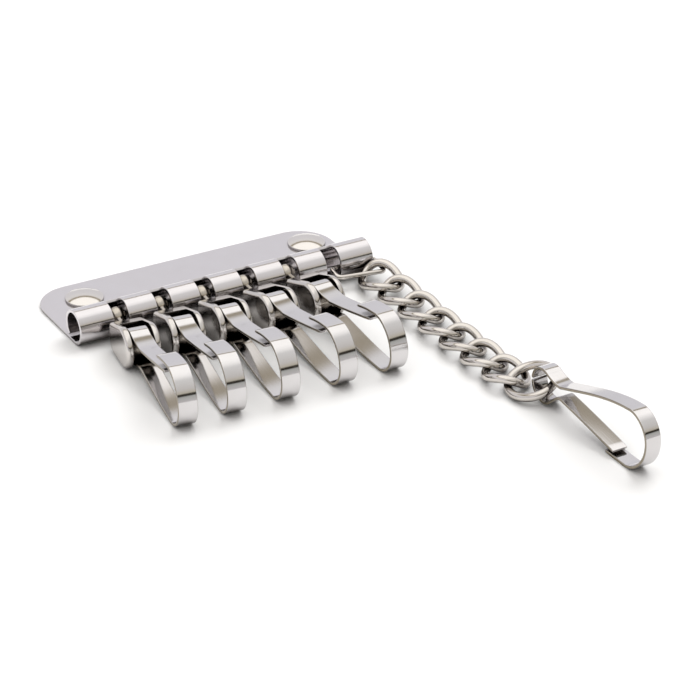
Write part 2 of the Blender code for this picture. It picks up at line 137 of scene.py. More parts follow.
def nickel_finish(name, bright, dull, roughness, lines_mm, stretch, depth_mm, by="UV", edge=None):
    """Plated steel: clouded tint, and worked lines so many mm apart and so many times longer."""
    material = bpy.data.materials.new(name)
    material.use_nodes = True
    tree = material.node_tree
    shader = tree.nodes["Principled BSDF"]
    shader.inputs["Metallic"].default_value = 1.0
    place = add_node(tree, "ShaderNodeTexCoord").outputs[by]
    unit = 1.0 if by == "UV" else 1 / MM
    cloud_place = add_node(
        tree, "ShaderNodeVectorMath", [(0, place)], [(1, (unit / CLOUD_MM,) * 3)], operation="MULTIPLY"
    )
    clouds = add_node(
        tree, "ShaderNodeTexNoise", [("Vector", cloud_place.outputs[0])], [("Scale", 1.0), ("Detail", 3.0)]
    )
    across = unit / lines_mm
    line_place = add_node(
        tree, "ShaderNodeVectorMath", [(0, place)],
        [(1, (across, across / stretch, across) if by == "UV" else (across / stretch, across, across))],
        operation="MULTIPLY",
    )
    lines = add_node(
        tree, "ShaderNodeTexNoise", [("Vector", line_place.outputs[0])], [("Scale", 1.0), ("Detail", 2.0)]
    )
    tint = add_node(
        tree, "ShaderNodeMix", [(0, clouds.outputs[0])],
        [(6, hex_colour(bright)), (7, hex_colour(dull))], data_type="RGBA",
    )
    # Painted shade: ambient occlusion darkens the tint towards brown in recesses.
    recess = add_node(tree, "ShaderNodeAmbientOcclusion", (), [("Distance", RECESS_SHADE_REACH)], samples=6)
    open_share = add_node(
        tree, "ShaderNodeMapRange", [("Value", recess.outputs["AO"])],
        [("From Min", CLOSED_IN), ("From Max", WIDE_OPEN), ("To Min", 0.0), ("To Max", 1.0)],
    )
    wear_and_recess_shade = add_node(
        tree, "ShaderNodeMix", [(0, open_share.outputs[0]), (7, tint.outputs[2])],
        [(6, hex_colour(PAINTED_RECESS_SHADE))], data_type="RGBA",
    )
    colour = wear_and_recess_shade.outputs[2]
    # Painted shade: the edge colour is mixed in near the strip's rounded edges.
    if edge:
        rim = add_node(tree, "ShaderNodeUVMap", uv_map="edge").outputs[0]
        rim_distance = add_node(tree, "ShaderNodeSeparateXYZ", [(0, rim)]).outputs["X"]
        rim_share = add_node(
            tree, "ShaderNodeMapRange", [("Value", rim_distance)],
            [("From Min", EDGE_SHADE_MM[0]), ("From Max", EDGE_SHADE_MM[1]),
             ("To Min", EDGE_SHADE_SHARE), ("To Max", 0.0)],
        )
        colour = add_node(
            tree, "ShaderNodeMix", [(0, rim_share.outputs[0]), (6, colour)], [(7, hex_colour(edge))],
            data_type="RGBA",
        ).outputs[2]
    tree.links.new(colour, shader.inputs["Base Color"])
    spread = add_node(
        tree, "ShaderNodeMapRange", [("Value", lines.outputs[0])],
        [("From Min", 0.3), ("From Max", 0.7),
         ("To Min", roughness * ROUGHNESS_SPREAD[0]), ("To Max", roughness * ROUGHNESS_SPREAD[1])],
    )
    tree.links.new(spread.outputs[0], shader.inputs["Roughness"])
    bump = add_node(
        tree, "ShaderNodeBump", [("Height", lines.outputs[0])],
        [("Strength", 1.0), ("Distance", depth_mm * MM)],
    )
    tree.links.new(bump.outputs[0], shader.inputs["Normal"])
    return material


# %% The six finishes
FINISHES = {
    "satin_nickel_plate": nickel_finish(
        "satin_nickel_plated_sheet_steel", "#D6D3D5", "#D1CDCE",
        roughness=0.13, lines_mm=0.4, stretch=30.0, depth_mm=0.0003,
    ),
    "nickel_rivet_cap": nickel_finish(
        "polished_nickel_plated_rivet_cap", "#DAD6D2", "#D2CDC8",
        roughness=0.10, lines_mm=1.5, stretch=1.0, depth_mm=0.002, by="Object",
    ),
    # The edge colour here is painted shade along the strip's rounded edges.
    "bright_nickel_spring_strip": nickel_finish(
        "bright_nickel_plated_spring_steel", "#D8D6D7", "#CDCAC9",
        roughness=0.10, lines_mm=0.3, stretch=25.0, depth_mm=0.0016, edge="#7E735C",
    ),
    "nickel_chain_wire": nickel_finish(
        "tumbled_nickel_plated_chain_wire", "#D6D1CC", "#C6C0B9",
        roughness=0.10, lines_mm=0.8, stretch=1.0, depth_mm=0.006, by="Object",
    ),
    "nickel_clevis_sheet": nickel_finish(
        "pressed_nickel_plated_fork_steel", "#D6D2CF", "#C4BFBA",
        roughness=0.13, lines_mm=1.0, stretch=1.0, depth_mm=0.006, by="Object",
    ),
    "nickel_turned_steel": nickel_finish(
        "turned_nickel_plated_pin_steel", "#CDC6BC", "#B9B1A6",
        roughness=0.16, lines_mm=0.4, stretch=3.0, depth_mm=0.004, by="Object",
    ),
}
print("finishes:", ", ".join(material.name for material in FINISHES.values()))

# %% [markdown]
# ## Putting a piece in place
# Each piece that is made here takes over from one node of the measured model. It needs a
# finish, a body to ride on and smooth shading with crisp corners. The weighted normal
# modifier keeps the flat faces flat right up to their rounded edges.

# %% Helpers that finish a piece
CRISP_ANGLE = math.radians(40)


def settle(obj):
    """Make an object's modifiers and its placement part of its mesh."""
    bpy.context.view_layer.update()
    graph = bpy.context.evaluated_depsgraph_get()
    finished = obj.evaluated_get(graph)
    mesh = bpy.data.meshes.new_from_object(finished, preserve_all_data_layers=True, depsgraph=graph)
    mesh.transform(obj.matrix_world)
    obj.modifiers.clear()
    obj.data = mesh
    obj.matrix_world = Matrix()


def place_piece(obj, node, body, slot_name, flat_faces=True):
    """Shade the piece, give it its finish, and let it stand for its node."""
    settle(obj)
    obj.data.shade_smooth()
    obj.data.set_sharp_from_angle(angle=CRISP_ANGLE)
    if flat_faces:
        weights = obj.modifiers.new("flat faces stay flat", "WEIGHTED_NORMAL")
        weights.keep_sharp = True
    obj.data.materials.clear()
    obj.data.materials.append(FINISHES[slot_name])
    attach(obj, body)
    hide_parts(node)
    return obj


def new_object(name, data, matrix=None):
    obj = bpy.data.objects.new(name, data)
    bpy.context.scene.collection.objects.link(obj)
    if matrix is not None:
        obj.matrix_world = matrix
    return obj


def bmesh_object(name, work, matrix=None):
    mesh = bpy.data.meshes.new(name)
    work.to_mesh(mesh)
    work.free()
    return new_object(name, mesh, matrix)


def even_steps(start, end, steps):
    """Values from start to end, both included."""
    return [start + (end - start) * index / steps for index in range(steps + 1)]


def arc(centre, radius, start, end, steps):
    """Points on an arc, angles in radians, both ends included."""
    angles = even_steps(start, end, steps)
    return [(centre[0] + radius * math.cos(a), centre[1] + radius * math.sin(a)) for a in angles]


# %% [markdown]
# ## The plate and its barrel
# The real one is one strip of sheet, 0.6 mm thick. Six slots are punched, the rear corners
# are rounded, and then the front edge is rolled over a rod. It could be cut from a solid
# with booleans, but it's made here as it's made in the press: a flat pattern of faces, with
# the slots left out, is laid along the roll. A solidify modifier then gives the thickness
# and a bevel rounds off every sheared edge.

# %% Sizes of the plate
plate_low, plate_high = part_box("back_plate")
BARREL_Y = joints["swing_1"]["pos_m"][1]
BARREL_RADIUS = joints["swing_1"]["pos_m"][2]
BARREL_HALF = (plate_high.x - plate_low.x) / 2
REAR_Y = plate_high.y
SHEET = 0.6 * MM
SHEARED_EDGE = 0.11 * MM
CORNER = 7.0 * MM
CURL_END = math.radians(-47.0)
SLOT_COUNT = 6
SLOT_PITCH = 8.7 * MM
SLOT_WIDTH = 3.0 * MM
SLOT_TOP = math.radians(50.0)
SLOT_BOTTOM = math.radians(258.0)
print("barrel length and radius in mm:", BARREL_HALF * 2 / MM, BARREL_RADIUS / MM)


def slot_x(index):
    return (index - (SLOT_COUNT - 1) / 2) * SLOT_PITCH


# %% Roll the sheet
def roll_angles():
    """Angles round the barrel, from its underside up and over, with a row on each slot end."""
    first = even_steps(math.radians(270), SLOT_BOTTOM, 3)
    middle = even_steps(SLOT_BOTTOM, SLOT_TOP, 56)
    last = even_steps(SLOT_TOP, CURL_END, 26)
    return first + middle[1:] + last[1:]


def build_plate():
    work = bmesh.new()
    uv_layer = work.loops.layers.uv.new("worked")
    columns = [-BARREL_HALF]
    for index in range(SLOT_COUNT):
        columns += [slot_x(index) - SLOT_WIDTH / 2, slot_x(index) + SLOT_WIDTH / 2]
    columns.append(BARREL_HALF)
    angles = roll_angles()
    rows = []
    for angle in angles:
        y = BARREL_Y + BARREL_RADIUS * math.cos(angle)
        z = BARREL_RADIUS + BARREL_RADIUS * math.sin(angle)
        rows.append([work.verts.new((x, y, z)) for x in columns])
    for row in range(len(rows) - 1):
        middle = (angles[row] + angles[row + 1]) / 2
        for column in range(len(columns) - 1):
            is_slot = column % 2 == 1 and SLOT_TOP < middle < SLOT_BOTTOM
            if not is_slot:
                corners = (rows[row][column], rows[row][column + 1])
                work.faces.new((*corners, rows[row + 1][column + 1], rows[row + 1][column]))
    right = arc((BARREL_HALF - CORNER, REAR_Y - CORNER), CORNER, 0.0, math.pi / 2, 20)
    left = arc((-BARREL_HALF + CORNER, REAR_Y - CORNER), CORNER, math.pi / 2, math.pi, 20)
    rear = [work.verts.new((x, y, 0.0)) for x, y in right + left]
    work.faces.new(rows[0] + rear)
    bmesh.ops.recalc_face_normals(work, faces=work.faces)
    loose = [vert for vert in work.verts if not vert.link_faces]
    bmesh.ops.delete(work, geom=loose, context="VERTS")
    for face in work.faces:
        for loop in face.loops:
            place = loop.vert.co
            rolled = place.y if place.z < SHEET else place.y + place.z
            loop[uv_layer].uv = (rolled / MM, place.x / MM)
    flat = max(work.faces, key=lambda face: face.calc_area())
    if flat.normal.z > 0:
        bmesh.ops.reverse_faces(work, faces=work.faces)
    plate = bmesh_object("rolled_back_plate", work)
    thickness = plate.modifiers.new("sheet", "SOLIDIFY")
    thickness.thickness = SHEET
    thickness.offset = -1.0
    thickness.use_even_offset = True
    edge = plate.modifiers.new("sheared edges", "BEVEL")
    edge.width = SHEARED_EDGE
    edge.segments = 3
    edge.limit_method = "ANGLE"
    edge.angle_limit = math.radians(50)
    return place_piece(plate, "back_plate", "plate", "satin_nickel_plate")


plate = build_plate()
print("plate faces before its modifiers:", len(plate.data.polygons))

# %% [markdown]
# ## Turned pieces
# The rivet caps, the posts and the pins are round, so each is a profile that the screw
# modifier turns about an axis. The caps are low domes that stand on the plate.

# %% Turn a profile
def turned(name, profile, steps, matrix):
    """Turned solid about local Z, profile of (radius, height) from top to bottom."""
    work = bmesh.new()
    verts = [work.verts.new((radius, 0.0, height)) for radius, height in profile]
    for first, second in zip(verts, verts[1:]):
        work.edges.new((first, second))
    obj = bmesh_object(name, work, matrix)
    screw = obj.modifiers.new("turn", "SCREW")
    screw.steps = steps
    screw.render_steps = steps
    screw.use_merge_vertices = True
    screw.merge_threshold = 1e-6
    screw.use_smooth_shade = True
    return obj


RIVET_RIM_SHARE = 0.3
RIVET_LIP = 0.15 * MM


def build_rivet(node):
    low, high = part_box(node)
    radius = (high.x - low.x) / 2
    height = high.z - low.z
    rise = height * (1 - RIVET_RIM_SHARE) - RIVET_LIP / 2
    sphere = (radius**2 + rise**2) / (2 * rise)
    span = math.asin((radius - RIVET_LIP) / sphere)
    steps = 14
    profile = [
        (sphere * math.sin(span * step / steps), height - sphere * (1 - math.cos(span * step / steps)))
        for step in range(steps + 1)
    ]
    edge_height = profile[-1][1] - RIVET_LIP
    profile += arc((radius - RIVET_LIP, edge_height), RIVET_LIP, math.radians(60), 0.0, 3)
    profile += [(radius, 0.0), (0.0, 0.0)]
    place = Matrix.Translation(((low.x + high.x) / 2, (low.y + high.y) / 2, low.z))
    cap = turned("domed_" + node, profile, 72, place)
    return place_piece(cap, node, "plate", "nickel_rivet_cap", flat_faces=False)


for rivet in ("rivet_cap_left", "rivet_cap_right"):
    build_rivet(rivet)
print("rivet caps: 2")

# %% [markdown]
# ## Where the hooks stand
# Every hook turns on a pin, and the measured model's joints say where the pins are and which
# way they point. From a pin's joint comes a frame in which X runs forward along the hook, Y
# is up and Z runs across, so each outline can be drawn flat and as if seen from the side.

# %% Frames from the joints
def side_frame(joint_name):
    joint = joints[joint_name]
    axis = Vector(joint["axis"]).normalized()
    up = Vector((0.0, 0.0, 1.0))
    forward = axis.cross(up).normalized()
    turn = Matrix((forward, up, forward.cross(up))).transposed().to_4x4()
    return Matrix.Translation(Vector(joint["pos_m"])) @ turn


HOOKS = range(1, SLOT_COUNT)
print("pins in mm:", [[round(v / MM, 1) for v in joints[f"pivot_{n}"]["pos_m"]] for n in HOOKS])

# %% [markdown]
# ## Swivel posts and pins
# A post is a ball that sits in the barrel, a neck that comes out through the slot, and a
# head inside the fork that keeps the fork on. The pin is a plain pin with polished ends; on
# the real fork they're ground flush, so here the pin only shows between the ears.

# %% Posts and pins
BALL_RADIUS = 1.9 * MM
NECK_RADIUS = 0.9 * MM
HEAD_RADIUS = 1.5 * MM
HEAD_THICKNESS = 0.6 * MM
CLEVIS_BACK = 5.6 * MM
CLEVIS_SHEET = 0.7 * MM
CLEVIS_WIDTH = 6.6 * MM
EAR_SHEET = 1.15 * MM
CLEARANCE = 0.3 * MM
EYE_RADIUS = 3.0 * MM
STRIP = 0.55 * MM
RUNNING_FIT = 0.06 * MM
PIN_SIDE_GAP = 0.1 * MM
POST_SOFT = 0.15 * MM
PIN_SOFT = 0.2 * MM


def build_post(n):
    head = CLEVIS_BACK + CLEVIS_SHEET + CLEARANCE
    blend = math.asin(NECK_RADIUS / BALL_RADIUS)
    top = head + HEAD_THICKNESS
    profile = [(0.0, top)]
    profile += arc((HEAD_RADIUS - POST_SOFT, top - POST_SOFT), POST_SOFT, math.pi / 2, 0.0, 3)
    profile += [(HEAD_RADIUS, head), (NECK_RADIUS, head)]
    profile += arc((0.0, 0.0), BALL_RADIUS, math.pi / 2 - blend, -math.pi / 2, 24)
    profile[-1] = (0.0, -BALL_RADIUS)
    forward = Vector(joints[f"swivel_{n}"]["axis"]).normalized()
    lie = forward.to_track_quat("Z", "Y").to_matrix().to_4x4()
    place = Matrix.Translation(Vector(joints[f"swing_{n}"]["pos_m"])) @ lie
    post = turned(f"turned_swivel_post_{n}", profile, 48, place)
    return place_piece(post, f"swivel_post_{n}", f"post_{n}", "nickel_turned_steel", flat_faces=False)


def build_pin(n):
    radius = EYE_RADIUS - STRIP / 2 - RUNNING_FIT
    half = CLEVIS_WIDTH / 2 - EAR_SHEET - PIN_SIDE_GAP
    round_at = (radius - PIN_SOFT, half - PIN_SOFT)
    profile = [(0.0, half)] + arc(round_at, PIN_SOFT, math.pi / 2, 0.0, 3)
    round_at = (radius - PIN_SOFT, -half + PIN_SOFT)
    profile += arc(round_at, PIN_SOFT, 0.0, -math.pi / 2, 3) + [(0.0, -half)]
    pin = turned(f"polished_hinge_pin_{n}", profile, 48, side_frame(f"pivot_{n}"))
    return place_piece(pin, f"hinge_pin_{n}", f"fork_{n}", "nickel_turned_steel", flat_faces=False)


for n in HOOKS:
    build_post(n)
    build_pin(n)
print("posts and pins:", 2 * len(HOOKS))

# %% [markdown]
# ## Forks
# Each fork is a U of folded sheet: a bridge at the back, a short roof that slopes down to
# it, and two round-nosed ears that hold the pin. It's easiest to take away from a solid: an
# outline seen from the side with well rounded rims, less the space inside and the hole for
# the post. A small bevel on what is left sharp gives the ears their bright inner rims.

# %% Sizes of the forks
CLEVIS_HEIGHT = 7.6 * MM
CLEVIS_BACK_HEIGHT = 5.4 * MM
CLEVIS_ROOF = 2.9 * MM
PIN_AHEAD = 7.0 * MM
HEEL = 2.6 * MM
EAR_ROUNDING = 0.65 * MM
NOSE = CLEVIS_HEIGHT / 2
WORN_EDGE = 0.14 * MM
SPARE = 2.0 * MM


def prism(name, outline, depth, matrix, rounding=0.0):
    """Solid with a flat outline in X and Y, that deep about Z, with rims rounded that much."""
    work = bmesh.new()
    base = [work.verts.new((x, y, -depth / 2)) for x, y in outline]
    face = work.faces.new(base)
    grown = bmesh.ops.extrude_face_region(work, geom=[face])
    moved = [item for item in grown["geom"] if isinstance(item, bmesh.types.BMVert)]
    bmesh.ops.translate(work, verts=moved, vec=(0.0, 0.0, depth))
    bmesh.ops.recalc_face_normals(work, faces=work.faces)
    if rounding:
        caps = [face for face in work.faces if abs(face.normal.z) > 0.9]
        rims = {edge for face in caps for edge in face.edges}
        bmesh.ops.bevel(work, geom=list(rims), offset=rounding, segments=6, profile=0.5, affect="EDGES")
    return bmesh_object(name, work, matrix)


def cut_away(target, tool):
    """Take the tool's shape out of the target, then throw the tool away."""
    step = target.modifiers.new("cut", "BOOLEAN")
    step.operation = "DIFFERENCE"
    step.solver = "EXACT"
    step.object = tool
    bpy.context.view_layer.update()
    evaluated = target.evaluated_get(bpy.context.evaluated_depsgraph_get())
    mesh = bpy.data.meshes.new_from_object(evaluated)
    target.modifiers.remove(step)
    target.data = mesh
    bpy.data.objects.remove(tool, do_unlink=True)
    return target


# %% Build the forks
def build_clevis(n):
    frame_here = side_frame(f"pivot_{n}")
    heel_centre = (-PIN_AHEAD + HEEL, -NOSE + HEEL)
    outline = arc((0.0, 0.0), NOSE, math.radians(-90), math.radians(100), 40)
    outline.append((-PIN_AHEAD, CLEVIS_BACK_HEIGHT - NOSE))
    outline += arc(heel_centre, HEEL, math.radians(180), math.radians(270), 12)[:-1]
    clevis = prism(f"folded_clevis_{n}", outline, CLEVIS_WIDTH, frame_here, EAR_ROUNDING)
    back = -PIN_AHEAD
    inner_back = back + CLEVIS_SHEET
    roof_front = back + CLEVIS_ROOF
    slope = (NOSE - (CLEVIS_BACK_HEIGHT - NOSE)) / PIN_AHEAD
    roof_back = CLEVIS_BACK_HEIGHT - NOSE - CLEVIS_SHEET
    roof_edge = roof_back + slope * (CLEVIS_ROOF - CLEVIS_SHEET)
    clear = NOSE + SPARE
    void = [(inner_back, -clear), (clear, -clear), (clear, clear), (roof_front, clear)]
    void += [(roof_front, roof_edge), (inner_back, roof_back)]
    inside = prism("inside", void, CLEVIS_WIDTH - 2 * EAR_SHEET, frame_here)
    cut_away(clevis, inside)
    drop = joints[f"swing_{n}"]["pos_m"][2] - NOSE
    lie = Matrix.Rotation(math.radians(90), 4, "Y")
    hole_place = frame_here @ Matrix.Translation((back + CLEVIS_SHEET / 2, drop, 0.0)) @ lie
    hole_outline = arc((0.0, 0.0), NECK_RADIUS + RUNNING_FIT, 0.0, 2 * math.pi, 32)[:-1]
    cut_away(clevis, prism("neck hole", hole_outline, SPARE, hole_place))
    edge = clevis.modifiers.new("worn edges", "BEVEL")
    edge.width = WORN_EDGE
    edge.segments = 3
    edge.limit_method = "ANGLE"
    edge.angle_limit = math.radians(50)
    edge.use_clamp_overlap = True
    return place_piece(clevis, f"clevis_{n}", f"fork_{n}", "nickel_clevis_sheet")


for n in HOOKS:
    clevis = build_clevis(n)
print("fork faces before the bevel:", len(clevis.data.polygons))

# %% [markdown]
# ## Spring strips
# A snap hook is strip steel bent in two: one run makes the loop and the other the sprung
# gate. Rolled strip has softly rounded edges. So the strip is lofted: a small rounded
# rectangle is set across the path at every step, and its corners carry a map of how far
# along and across the strip they are, so that the rolling lines can follow the bends.

# %% Loft a strip
def hermite(p0, d0, p1, d1, steps):
    """Smooth run between two points with their directions, first point left out."""
    run = []
    for index in range(1, steps + 1):
        t = index / steps
        shares = (2 * t**3 - 3 * t**2 + 1, t**3 - 2 * t**2 + t, 3 * t**2 - 2 * t**3, t**3 - t**2)
        run.append(tuple(sum(s * p[axis] for s, p in zip(shares, (p0, d0, p1, d1))) for axis in (0, 1)))
    return run


STRIP_ROUNDING = 0.17 * MM
END_SHRINK = 0.09 * MM
LEAST_ROUNDING = 0.02 * MM


def strip_section(width, thickness, radius, shrink=0.0):
    """Rounded rectangle: across the strip, and through its thickness."""
    half_width = width / 2 - radius
    half_thick = thickness / 2 - radius
    radius = max(radius - shrink, LEAST_ROUNDING)
    section = []
    for quarter in range(4):
        side = (1, 1, -1, -1)[quarter]
        top = (1, -1, -1, 1)[quarter]
        corner = (side * half_width, top * half_thick)
        start = math.radians((90, 0, -90, -180)[quarter])
        section += arc(corner, radius, start, start - math.pi / 2, 3)
    return section


def loft_strip(name, path, width, thickness, matrix):
    """Strip along a flat path, with maps of its worked direction and of how near its edge is."""
    stations = list(path)
    work = bmesh.new()
    uv_layer = work.loops.layers.uv.new("worked")
    edge_layer = work.loops.layers.uv.new("edge")
    along, rings, lengths = 0.0, [], []
    last = len(stations) - 1
    place_of, rim_of = {}, {}
    for index, (x, y) in enumerate(stations):
        before, after = stations[max(index - 1, 0)], stations[min(index + 1, last)]
        run = (Vector(after) - Vector(before)).normalized()
        if index:
            along += math.dist(stations[index - 1], stations[index])
        shrink = END_SHRINK if index in (0, last) else 0.0
        ring = []
        for across, through in strip_section(width, thickness, STRIP_ROUNDING, shrink):
            vert = work.verts.new((x - run.y * through, y + run.x * through, across))
            place_of[vert] = (across / MM + through / MM, along / MM)
            rim_of[vert] = ((width / 2 - abs(across)) / MM, 0.0)
            ring.append(vert)
        rings.append(ring)
    count = len(rings[0])
    for first, second in zip(rings, rings[1:]):
        for index in range(count):
            after = (index + 1) % count
            work.faces.new((first[index], first[after], second[after], second[index]))
    work.faces.new(rings[0][::-1])
    work.faces.new(rings[-1])
    bmesh.ops.recalc_face_normals(work, faces=work.faces)
    for face in work.faces:
        for loop in face.loops:
            loop[uv_layer].uv = place_of[loop.vert]
            loop[edge_layer].uv = rim_of[loop.vert]
    return bmesh_object(name, work, matrix)


# %% The path of a snap hook
HOOK_WIDTH = 3.6 * MM
EYE_SPLIT = math.radians(3.2)
LOW_LEAVE = math.radians(300.0)
HIGH_LEAVE = math.radians(68.0)
BELLY_AT = 0.84
NOSE_AT = 0.42
TOP_AT = 0.8
LEAVE_HANDLE = 2.6 * MM
LOW_RISE = 1.1 * MM
HIGH_FALL = 0.9 * MM
WAIST_LIFT = 0.3 * MM
BELLY_HANDLE = 0.22
NOSE_HANDLES = (0.72, 0.95)
TOP_HANDLE = 0.26
HOOK_SHAPE = {
    "reach": 26.9 * MM, "floor": -3.8 * MM, "crest": 7.1 * MM, "waist": 6.0 * MM,
    "low_waist": -1.4 * MM, "high_waist": 2.3 * MM, "free_end": 0.572, "free_dip": 0.9 * MM,
    "tip": 0.732,
}
SNAP_SHAPE = {
    "reach": 30.7 * MM, "floor": -7.9 * MM, "crest": 3.75 * MM, "waist": 5.2 * MM,
    "low_waist": -2.1 * MM, "high_waist": 0.1 * MM, "free_end": 0.622, "free_dip": 0.1 * MM,
    "tip": 0.694,
}


def hook_paths(eye, shape):
    """Centre paths of the loop strip and of the gate strip, about the eye's centre."""
    reach = shape["reach"]
    floor = shape["floor"] + STRIP / 2
    crest = shape["crest"] - STRIP / 2
    height = crest - floor
    waist = (shape["waist"], shape["low_waist"])
    belly = (reach * BELLY_AT, floor)
    nose = (reach - STRIP / 2, floor + NOSE_AT * height)
    top = (reach * TOP_AT, crest)
    free_end = (reach * shape["free_end"], crest - shape["free_dip"])
    slope = (belly[1] - waist[1]) / (belly[0] - waist[0])
    run = belly[0] - waist[0]
    loop_path = arc((0, 0), eye, math.pi + EYE_SPLIT, LOW_LEAVE, 36)
    at_waist = (LEAVE_HANDLE, 0.6 * slope * LEAVE_HANDLE)
    loop_path += hermite(loop_path[-1], (LEAVE_HANDLE, LOW_RISE), waist, at_waist, 12)
    loop_path += hermite(waist, (run, 1.25 * slope * run), belly, (run, 0.25 * slope * run), 20)
    loop_path += hermite(belly, (BELLY_HANDLE * reach, 0.0), nose, (0.0, NOSE_HANDLES[0] * height), 24)
    loop_path += hermite(nose, (0.0, NOSE_HANDLES[1] * height), top, (-TOP_HANDLE * reach, 0.0), 24)
    back = free_end[0] - top[0]
    loop_path += hermite(top, (back, 0.0), free_end, (back, -2 * shape["free_dip"]), 12)
    gate_path = arc((0, 0), eye, math.pi - EYE_SPLIT, HIGH_LEAVE, 32)
    waist = (shape["waist"], shape["high_waist"])
    tip = (reach * shape["tip"], free_end[1] - STRIP - CLEARANCE)
    slope = (tip[1] - waist[1]) / (tip[0] - waist[0])
    run = tip[0] - waist[0]
    at_waist = (LEAVE_HANDLE, WAIST_LIFT)
    gate_path += hermite(gate_path[-1], (LEAVE_HANDLE, -HIGH_FALL), waist, at_waist, 12)
    gate_path += hermite(waist, (run, 0.8 * slope * run), tip, (run, 1.1 * slope * run), 20)
    return loop_path, gate_path


# %% Build the five hooks
for n in HOOKS:
    loop_path, gate_path = hook_paths(EYE_RADIUS, HOOK_SHAPE)
    hook_frame = side_frame(f"pivot_{n}")
    loop = loft_strip(f"bent_hook_loop_{n}", loop_path, HOOK_WIDTH, STRIP, hook_frame)
    place_piece(loop, f"hook_loop_{n}", f"hook_{n}", "bright_nickel_spring_strip")
    gate = loft_strip(f"sprung_hook_gate_{n}", gate_path, HOOK_WIDTH, STRIP, hook_frame)
    place_piece(gate, f"hook_gate_{n}", f"gate_{n}", "bright_nickel_spring_strip")
print("strip faces:", len(loop.data.polygons), "and", len(gate.data.polygons))

# %% [markdown]
# ## The end snap
# The sixth snap is the same bent strip, narrower and longer, and it lies the other way up
# with its gate along the ground. Its pivot joint says where its eye is.

# %% Build the end snap
SNAP_WIDTH = 3.1 * MM
SNAP_EYE = 3.15 * MM
snap_frame = side_frame("end_snap_pivot")
snap_paths = [[(x, -y) for x, y in path] for path in hook_paths(SNAP_EYE, SNAP_SHAPE)]
end_loop = loft_strip("bent_end_snap_loop", snap_paths[0], SNAP_WIDTH, STRIP, snap_frame)
place_piece(end_loop, "end_snap_loop", "end_snap", "bright_nickel_spring_strip")
end_gate = loft_strip("sprung_end_snap_gate", snap_paths[1], SNAP_WIDTH, STRIP, snap_frame)
place_piece(end_gate, "end_snap_gate", "end_snap_gate", "bright_nickel_spring_strip")
print("end snap centre in mm:", [round(v / MM, 1) for v in snap_frame.translation])

# %% [markdown]
# ## The chain
# Each link is a wire oval twisted along its length, so that the next one lies flat in it.
# A curve with a round bevel is the natural way to make wire. The first ring is a thin
# corner-rounded loop that runs through the last knuckle, and a plain ring joins the chain
# to the end snap.

# %% Wire rings
def wire_ring(name, points, radius, matrix=None):
    """Closed round wire along 3D points, as a mesh."""
    curve = bpy.data.curves.new(name, "CURVE")
    curve.dimensions = "3D"
    curve.bevel_depth = radius
    curve.bevel_resolution = 6
    spline = curve.splines.new("POLY")
    spline.points.add(len(points) - 1)
    for point, place in zip(spline.points, points):
        point.co = (*place, 1.0)
    spline.use_cyclic_u = True
    drawn = new_object(name + "_path", curve)
    bpy.context.view_layer.update()
    mesh = bpy.data.meshes.new_from_object(drawn.evaluated_get(bpy.context.evaluated_depsgraph_get()))
    bpy.data.objects.remove(drawn, do_unlink=True)
    return new_object(name, mesh, matrix)


# %% The thin connector
CONNECTOR_WIRE = 0.45 * MM
CONNECTOR_TILT = math.radians(188.0)
CONNECTOR_BEND = 1.1 * MM
CONNECTOR_BACK = 0.15 * MM
CONNECTOR_LENGTH = 9.2 * MM
CONNECTOR_INNER = 1.9 * MM
CONNECTOR_LEFT = 5.1 * MM
CONNECTOR_RIGHT = CONNECTOR_LEFT + CONNECTOR_LENGTH * math.tan(math.radians(8.35))
CONNECTOR_CORNERS = [
    (0.0, CONNECTOR_INNER), (CONNECTOR_LENGTH, CONNECTOR_INNER),
    (CONNECTOR_LENGTH, CONNECTOR_RIGHT), (0.0, CONNECTOR_LEFT),
]


def connector_points():
    left = slot_x(SLOT_COUNT - 1) - CONNECTOR_BACK
    points = []
    steps = 12
    for index, corner in enumerate(map(Vector, CONNECTOR_CORNERS)):
        before = (Vector(CONNECTOR_CORNERS[index - 1]) - corner).normalized() * CONNECTOR_BEND
        after = (Vector(CONNECTOR_CORNERS[(index + 1) % 4]) - corner).normalized() * CONNECTOR_BEND
        for step in range(steps + 1):
            t = step / steps
            along, out = (corner + before * (1 - t)).lerp(corner + after * t, t)
            y = BARREL_Y + math.cos(CONNECTOR_TILT) * out
            points.append((left + along, y, BARREL_RADIUS + math.sin(CONNECTOR_TILT) * out))
    return points


connector = wire_ring("thin_chain_connector", connector_points(), CONNECTOR_WIRE)
place_piece(connector, "chain_connector", "connector", "nickel_chain_wire", flat_faces=False)
print("connector points:", len(connector_points()))

# %% The twisted links
LINK_COUNT = 7
LINK_WIRE = 0.78 * MM
LINK_PITCH = 6.91 * MM
LINK_LOOSE = 0.175 * MM
LINK_HALF_LENGTH = LINK_PITCH / 2 + LINK_WIRE + LINK_LOOSE
LINK_HALF_WIDTH = 3.3 * MM
LINK_SQUARENESS = 2.2
LINK_TWIST = math.radians(-30.0)
LINK_SETTLE = 0.32
CHAIN_START = Vector((28.3 * MM, BARREL_Y - 4.2 * MM, 2.45 * MM))
CHAIN_DRIFT = math.radians(2.56)
CHAIN_DROP = math.radians(1.3)
FIRST_ROLL = math.radians(12.0)
ROLLED_LINKS = 3


def link_points(count=120):
    points = []
    power = 2 / LINK_SQUARENESS
    for index in range(count):
        angle = 2 * math.pi * (index + 0.5) / count
        c, s = math.cos(angle), math.sin(angle)
        along = LINK_HALF_LENGTH * math.copysign(abs(c) ** power, c)
        out = LINK_HALF_WIDTH * math.copysign(abs(s) ** power, s)
        twist = LINK_TWIST * along / LINK_HALF_LENGTH
        points.append((along, out * math.cos(twist), out * math.sin(twist)))
    return points


